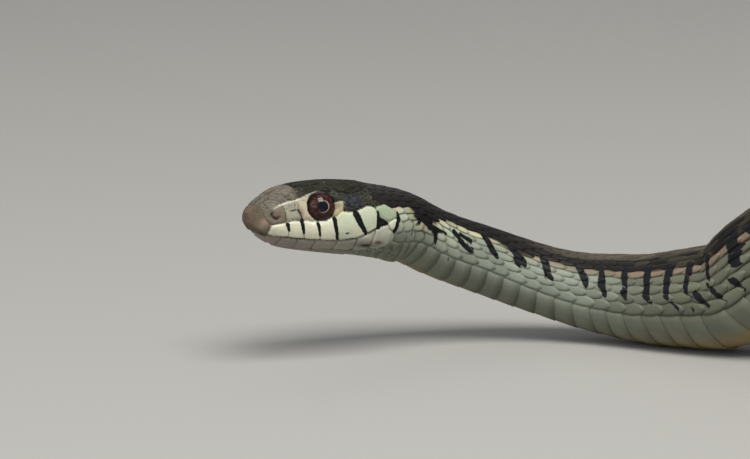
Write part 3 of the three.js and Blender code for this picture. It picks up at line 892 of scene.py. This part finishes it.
def keepScales(sheet, template, kept):
    mesh = sheet.data
    deselectAll()
    sheet.select_set(True)
    bpy.context.view_layer.objects.active = sheet
    mesh.polygons.foreach_set("select", np.zeros(len(mesh.polygons), bool))
    mesh.edges.foreach_set("select", np.zeros(len(mesh.edges), bool))
    mesh.vertices.foreach_set("select", np.repeat(~kept, len(template)))
    bpy.ops.object.mode_set(mode="EDIT")
    bpy.context.tool_settings.mesh_select_mode = (True, False, False)
    bpy.ops.mesh.delete(type="VERT")
    bpy.ops.object.mode_set(mode="OBJECT")
    bpy.ops.object.shade_smooth()
    return sheet


def outOfHead(s, turn):
    depth = plateFields(s, turn)[0]
    t = fromBack(turn)
    begins = np.interp(t, bodyBegins["turn"], bodyBegins["scales"])
    return (depth < -0.15) & (s > begins)


def stationRange(fromS, toS):  # the number of the first station, and how many there are
    first = int(round(numberAt(fromS)))
    return first, int(round(numberAt(toS))) - first


def scaleField(name, along, across, rows, stations):
    sheet = scaleSheet(name, along, across)
    template = readPlaces(sheet.data).copy()
    repeatSheet(sheet, rows, stations)
    row, station = [v.ravel() for v in np.meshgrid(np.arange(rows), np.arange(stations), indexing="ij")]

    def each(values):
        return np.repeat(values, len(template))

    a = np.tile((template[:, 0] + 1) / 2, len(row))
    b = np.tile(template[:, 1], len(row))
    onTop = np.tile(template[:, 2] > -0.5, len(row))
    return sheet, template, each, row, station, a, b, onTop


def paintSheet(sheet, s, turn, paint):
    addColours(sheet.data, "tint", paint)
    addNumbers(sheet.data, "ink", inkAt(s, turn))


def rounded(a, begin, span, power):  # how wide a scale is from its root to its tip
    return np.sin(math.pi * np.clip(begin + span * a, 0, 1)) ** power


dorsal = {"long": 1.72, "wide": 1.34, "root": -0.5, "tip": -0.25, "dome": 0.11, "keel": 0.13, "rim": 0.3,
          "floor": 0.02, "shape": (0.1, 0.83, 0.62), "apart": 0.27, "longVary": 0.04, "tintVary": 0.1,
          "tintLimits": (0.75, 1.25), "oliveFrom": 60, "oliveScales": 0.45, "oliveShare": 0.8}


def dorsalScales(name, fromS, toS, rows, seed):
    first, stations = stationRange(fromS, toS)
    sheet, template, each, row, station, a, b, onTop = scaleField(name, 6, 4, rows, stations)
    chance = np.random.default_rng(seed)
    middle = (row - (rows - 1) / 2) / (rows / 2)  # -1 to 1 over the back
    centreS = stationAt(first + station + 0.5 * (row % 2))
    edge = ventralEdge(centreS)
    centreTurn = edge * middle * (0.9 + 0.1 * middle * middle)
    pitch = edge * 2 / rows * (0.9 + 0.3 * middle * middle)
    a = a - 0.13 * b * b * (a > 0.55) * (a - 0.3)
    longer = 1 + dorsal["longVary"] * chance.standard_normal(len(row))
    s = each(centreS) + (a - 0.5) * each(spacingAt(centreS) * dorsal["long"] * longer)
    apart = 1 - dorsal["apart"] * around(centreS, 85, 13)  # the skin shows where the neck bends
    turn = each(centreTurn) + b * rounded(a, *dorsal["shape"]) * each(pitch * apart) * dorsal["wide"] / 2
    keel = dorsal["keel"] * np.clip(1 - np.abs(b) * 2.2, 0, 1) * ease(a * 3) * ease((1.05 - a) * 4)
    keel = keel * each(np.abs(middle) < 1 - 1.5 / rows) * fade("keelBegins", each(centreS))
    lifted = dorsal["root"] + (dorsal["tip"] - dorsal["root"]) * a + dorsal["dome"] * (1 - b * b) + keel
    lifted = np.where(onTop, lifted, lifted - dorsal["rim"]) * scaleSize(each(centreS))
    writePlaces(sheet.data, onSkin(np.clip(s, *coatEnds), turn, lifted, floor=dorsal["floor"]))
    tintEach = 1 + dorsal["tintVary"] * chance.standard_normal(len(row))
    paint = bodyPaint((each(centreS) + s) / 2, (each(centreTurn) + turn) / 2)
    dark = paint.max(axis=1) < 0.08
    olive = each((chance.random(len(row)) < dorsal["oliveScales"]) & (centreS > dorsal["oliveFrom"]))
    paint = mix(paint, bodyTints["olive"], dorsal["oliveShare"] * (dark & olive))
    paint = paint * each(np.clip(tintEach, *dorsal["tintLimits"]))[:, None]
    t = fromBack(turn)
    outline = 0.2 + 0.5 * around(t - darkEdge(s), 8, 12)  # darker outlines by the band and the nape
    outline = np.clip(outline + 0.7 * napeShare(s, t), 0, 0.97)
    # Painted shade: each scale is darker at its root under the scale before, along its sides and on its
    # rim; by the band and the nape the dark outlines are also the black skin between the scales.
    rootShade = 0.5 + 0.5 * ease(a * 2.6)
    sideShade = 1 - outline * np.abs(b) ** 4
    paint = paint * (rootShade * sideShade * np.where(onTop, 1, 0.35))[:, None]
    paint = mix(paint, bodyTints["between"], redShare(s, t) * np.clip(1.2 - 2.4 * a, 0, 1))
    paintSheet(sheet, s, turn, paint)
    addScalePatches(sheet.data, centreS, centreTurn, template)
    return keepScales(sheet, template, outOfHead(centreS, centreTurn))


def addScalePatches(mesh, rootS, rootTurn, template):
    patch = 0.003
    scale, own = np.divmod(cornerVertices(mesh), len(template))
    root = unwrapAt(rootS, (rootTurn + 180) % 360, bandOf(rootS))[scale]
    addUnwrap(mesh, root + template[own][:, :2] * patch / 2)


scute = {"long": 1.5, "root": -0.4, "tip": -0.1, "rim": 0.3, "sweep": 0.4, "overlap": 3.5, "tuck": 0.35,
         "floor": 0.01, "tintVary": 0.05}


def bellyScutes(name, fromS, toS, halves, across, seed):
    first, stations = stationRange(fromS, toS)
    sheet, template, each, row, station, a, b, onTop = scaleField(name, 3, across, halves, stations)
    centreS = stationAt(first + station + 0.5 * row)
    halfTurn = 180 - ventralEdge(centreS)
    centreTurn = np.where(halves == 1, 180, 180 + (row * 2 - 1) * halfTurn / 2)
    chance = np.random.default_rng(seed)
    gap = each(spacingAt(centreS))
    turn = each(centreTurn) + b * each(halfTurn / halves + scute["overlap"])
    s = each(centreS) + (a - 0.65) * gap * scute["long"] + scute["sweep"] * gap * (1 - b * b)
    lifted = scute["root"] + (scute["tip"] - scute["root"]) * a
    lifted = np.where(onTop, lifted, lifted - scute["rim"])
    lifted = (lifted - scute["tuck"] * np.clip(np.abs(b) * 8 - 7, 0, 1)) * scaleSize(each(centreS))
    writePlaces(sheet.data, onSkin(np.clip(s, *coatEnds), turn, lifted, floor=scute["floor"]))
    tintEach = 1 + scute["tintVary"] * chance.standard_normal(len(row))
    # Painted shadow: each scute is darker towards its free edge and on its rim, a shadow line in the slit
    # between scutes; the darker root is painted shade under the scute before.
    edgeShadowLine = np.where(onTop, 1 - 0.22 * ease((a - 0.7) / 0.3), 0.3)
    shade = edgeShadowLine * (0.7 + 0.3 * ease(a * 3))
    paintSheet(sheet, s, turn, bodyPaint(s, turn) * (each(tintEach) * shade)[:, None])
    corner = cornerVertices(sheet.data)
    addUnwrap(sheet.data, unwrapAt(s[corner], turn[corner] % 360, bandOf(each(centreS))[corner]))
    return keepScales(sheet, template, outOfHead(centreS, centreTurn))


gular = {"rows": 11, "stations": 7, "from": 12.4, "step": 1.45, "turnFrom": 126, "turnTo": 234,
         "long": 1.7, "wide": 0.62, "shape": (0.08, 0.85, 0.6), "root": -0.16, "rise": 0.1,
         "dome": 0.06, "rim": 0.15, "end": 22.5, "lipS": [12, 17, 19, 21], "lipTurn": [146, 140, 126, 118]}


def gularScales():
    rows = gular["rows"]
    sheet, template, each, row, station, a, b, onTop = scaleField(
        "throat_scales", 6, 4, rows, gular["stations"])
    centreS = gular["from"] + gular["step"] * (station + 0.5 * (row % 2))
    pitch = (gular["turnTo"] - gular["turnFrom"]) / (rows - 1)
    centreTurn = gular["turnFrom"] + pitch * row
    s = each(centreS) + (a - 0.5) * gular["step"] * gular["long"]
    turn = each(centreTurn) + b * rounded(a, *gular["shape"]) * pitch * gular["wide"]
    lifted = gular["root"] + gular["rise"] * a + gular["dome"] * (1 - b * b)
    writePlaces(sheet.data, onSkin(s, turn, np.where(onTop, lifted, lifted - gular["rim"])))
    shade = np.where(onTop, 1, 0.5) * (0.75 + 0.25 * ease(a * 2))
    paintSheet(sheet, s, turn, bodyPaint(s, turn) * shade[:, None])
    addScalePatches(sheet.data, centreS, centreTurn, template)
    clear = plateFields(centreS, centreTurn)[0] < -0.2
    underLip = fromBack(centreTurn) > np.interp(centreS, gular["lipS"], gular["lipTurn"])
    return keepScales(sheet, template, clear & underLip & (centreS < gular["end"]))


def makeEye(name, side, material):
    centre = (eyeCentre(side) + shift) * mm
    deselectAll()
    bpy.ops.mesh.primitive_uv_sphere_add(segments=64, ring_count=40, radius=eye["radius"] * mm * 0.995,
                                         location=tuple(centre))
    ball = bpy.context.object
    ball.name = name
    bpy.ops.object.transform_apply(location=True)
    bpy.ops.object.shade_smooth()
    ball.data.materials.append(material)
    return ball


# The pupil is black with a faint blue tint, a painted reflection.
eyeFinish = {"iris": (0.014, 0.004, 0.003, 1), "light": (0.12, 0.04, 0.034, 1), "lightShare": 0.65,
             "rim": (0.007, 0.003, 0.003, 1), "rimFrom": 0.7, "pupil": 0.34,
             "pupilColour": (0.004, 0.006, 0.009, 1), "ring": 0.39, "ringWidth": 0.045,
             "ringColour": (0.46, 0.35, 0.3, 1), "noise": (2400.0, 4.0, 0.7)}


def eyeMaterial(name, side):
    finish = eyeFinish
    material, wire, shader = newMaterial(name)
    place = objectPlace(wire)
    centre = tuple((eyeCentre(side) + shift) * mm)
    own = wire.make("ShaderNodeVectorMath", {"operation": "SUBTRACT"}, {0: place, 1: centre})

    def along(axis):  # how far out from the eye's centre, 1 at its surface
        unit = tuple(axis / (eye["radius"] * mm))
        return wire.make("ShaderNodeVectorMath", {"operation": "DOT_PRODUCT"}, {0: own, 1: unit}, 1)

    facing = along(eyeAxis(side, *eye["gaze"]))
    out = wire.sum("MAXIMUM", 1.0 - facing * facing, 0.0) ** 0.5
    warm = ((wire.noise(place, *finish["noise"]) - 0.46) * 6.0).limited()
    colour = (warm * finish["lightShare"]).blend(finish["iris"], finish["light"])
    colour = ((out - finish["rimFrom"]) * 7.0).limited().blend(colour, finish["rim"])
    fromRing = wire.sum("ABSOLUTE", (out - finish["ring"]) / finish["ringWidth"])
    aside = along(lineAt("along", eye["s"]))
    strength = (aside * 1.4 + 0.75).limited()  # the ring is palest towards the tail
    colour = ((1.0 - fromRing).limited() * strength).blend(colour, finish["ringColour"])
    pupil = ((finish["pupil"] - out) * 60.0).limited()
    # The pupil's faint blue is a painted reflection.
    plug(shader, "Base Color", pupil.blend(colour, finish["pupilColour"]))
    for socket, value in (("Roughness", 0.5), ("Specular IOR Level", 0.0), ("Coat Weight", 0.5),
                          ("Coat Roughness", 0.03)):
        shader.inputs[socket].default_value = value
    return material


photo = {"width": 750, "height": 459, "elevation": 10, "distance": 600, "mmPerPixel": 0.135,
         "snoutPixel": (244.5, 219.0)}


def makeCamera():
    tilt = math.radians(photo["elevation"])
    look = np.array([0, math.cos(tilt), -math.sin(tilt)])
    up = np.array([0, math.sin(tilt), math.cos(tilt)])
    aside = (photo["snoutPixel"][0] - photo["width"] / 2) * photo["mmPerPixel"]
    above = (photo["height"] / 2 - photo["snoutPixel"][1]) * photo["mmPerPixel"]
    tip = line["place"][0] + shift
    place = (tip - look * photo["distance"] - np.array([1, 0, 0]) * aside - up * above) * mm
    camera = bpy.data.cameras.new("camera")
    camera.sensor_width = 36
    camera.lens = photo["distance"] / photo["mmPerPixel"] / photo["width"] * camera.sensor_width
    camera.clip_start = 0.01
    holder = bpy.data.objects.new("camera", camera)
    holder.location = tuple(place)
    holder.rotation_euler = (math.pi / 2 - tilt, 0, 0)
    bpy.context.scene.collection.objects.link(holder)
    bpy.context.scene.camera = holder


lightAim = (-0.04, 0, 0.01)
lights = {  # where each stands, how wide it is, its power and colour
    "key": ((0.05, -0.36, 0.72), 0.45, 8, (1, 0.97, 0.92)),
    "fill": ((-0.5, -0.5, 0.35), 0.7, 2, (0.92, 0.96, 1)),
    "rim": ((-0.1, 0.6, 0.6), 0.5, 0.6, (1, 0.96, 0.9)),
}


def makeLight(name, place, size, power, colour):
    light = bpy.data.lights.new(name, "AREA")
    light.size = size
    light.energy = power
    light.color = colour
    holder = bpy.data.objects.new(name, light)
    holder.location = place
    away = np.array(place) - np.array(lightAim)
    flat = math.hypot(away[0], away[1])
    holder.rotation_euler = (math.atan2(flat, away[2]), 0, math.atan2(away[1], away[0]) + math.pi / 2)
    bpy.context.scene.collection.objects.link(holder)


def makeStage():
    deselectAll()
    bpy.ops.mesh.primitive_plane_add(size=60, location=(0, 0, -0.0002))
    floor = bpy.context.object
    floor.name = "floor"
    bpy.ops.object.transform_apply(location=True)
    material, _, shader = newMaterial("paleFloor")
    shader.inputs["Base Color"].default_value = (0.33, 0.325, 0.31, 1)
    shader.inputs["Roughness"].default_value = 0.9
    floor.data.materials.append(material)
    world = bpy.data.worlds.new("studio")
    world.use_nodes = True
    background = world.node_tree.nodes["Background"]
    background.inputs["Color"].default_value = (0.9, 0.92, 0.95, 1)
    background.inputs["Strength"].default_value = 0.35
    bpy.context.scene.world = world
    for name, settings in lights.items():
        makeLight(name, *settings)


bpy.context.scene.view_settings.view_transform = "Standard"
makeCamera()
makeStage()
print("camera and stage made")

skin = makeSkin()
skin.data.materials.append(headSkinMaterial())
fleshNodes = [entry["node"] for entry in record["subparts"] if not entry["node"].startswith("eye")]
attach(skin, "root")
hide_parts(*fleshNodes)
print("skin made", len(skin.data.polygons))

keeled = scaleMaterial("keeledScale", 0.36, 260.0)
smooth = scaleMaterial("smoothScute", 0.34, 160.0)
vent = snake["vent"]
coat = [
    (dorsalScales("front_scales", 17, 230, 19, 1), keeled),
    (dorsalScales("middle_scales", 230, 440, 19, 2), keeled),
    (dorsalScales("rear_scales", 440, vent, 17, 3), keeled),
    (dorsalScales("tail_base_scales", vent, 690, 11, 4), keeled),
    (dorsalScales("tail_tip_scales", 690, 780, 7, 5), keeled),
    (bellyScutes("belly_scutes", 16.2, vent, 1, 14, 6), smooth),
    (bellyScutes("tail_scutes", vent, 780, 2, 6, 7), smooth),
    (gularScales(), smooth),
]
for piece, material in coat:
    piece.data.materials.append(material)
    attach(piece, "root")
    print(piece.name, len(piece.data.polygons))

for name, side in (("left_eye", 1), ("right_eye", -1)):
    ball = makeEye(name, side, eyeMaterial(name, side))
    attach(ball, "root")
    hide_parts("eye_left" if side > 0 else "eye_right")
print("eyes made")
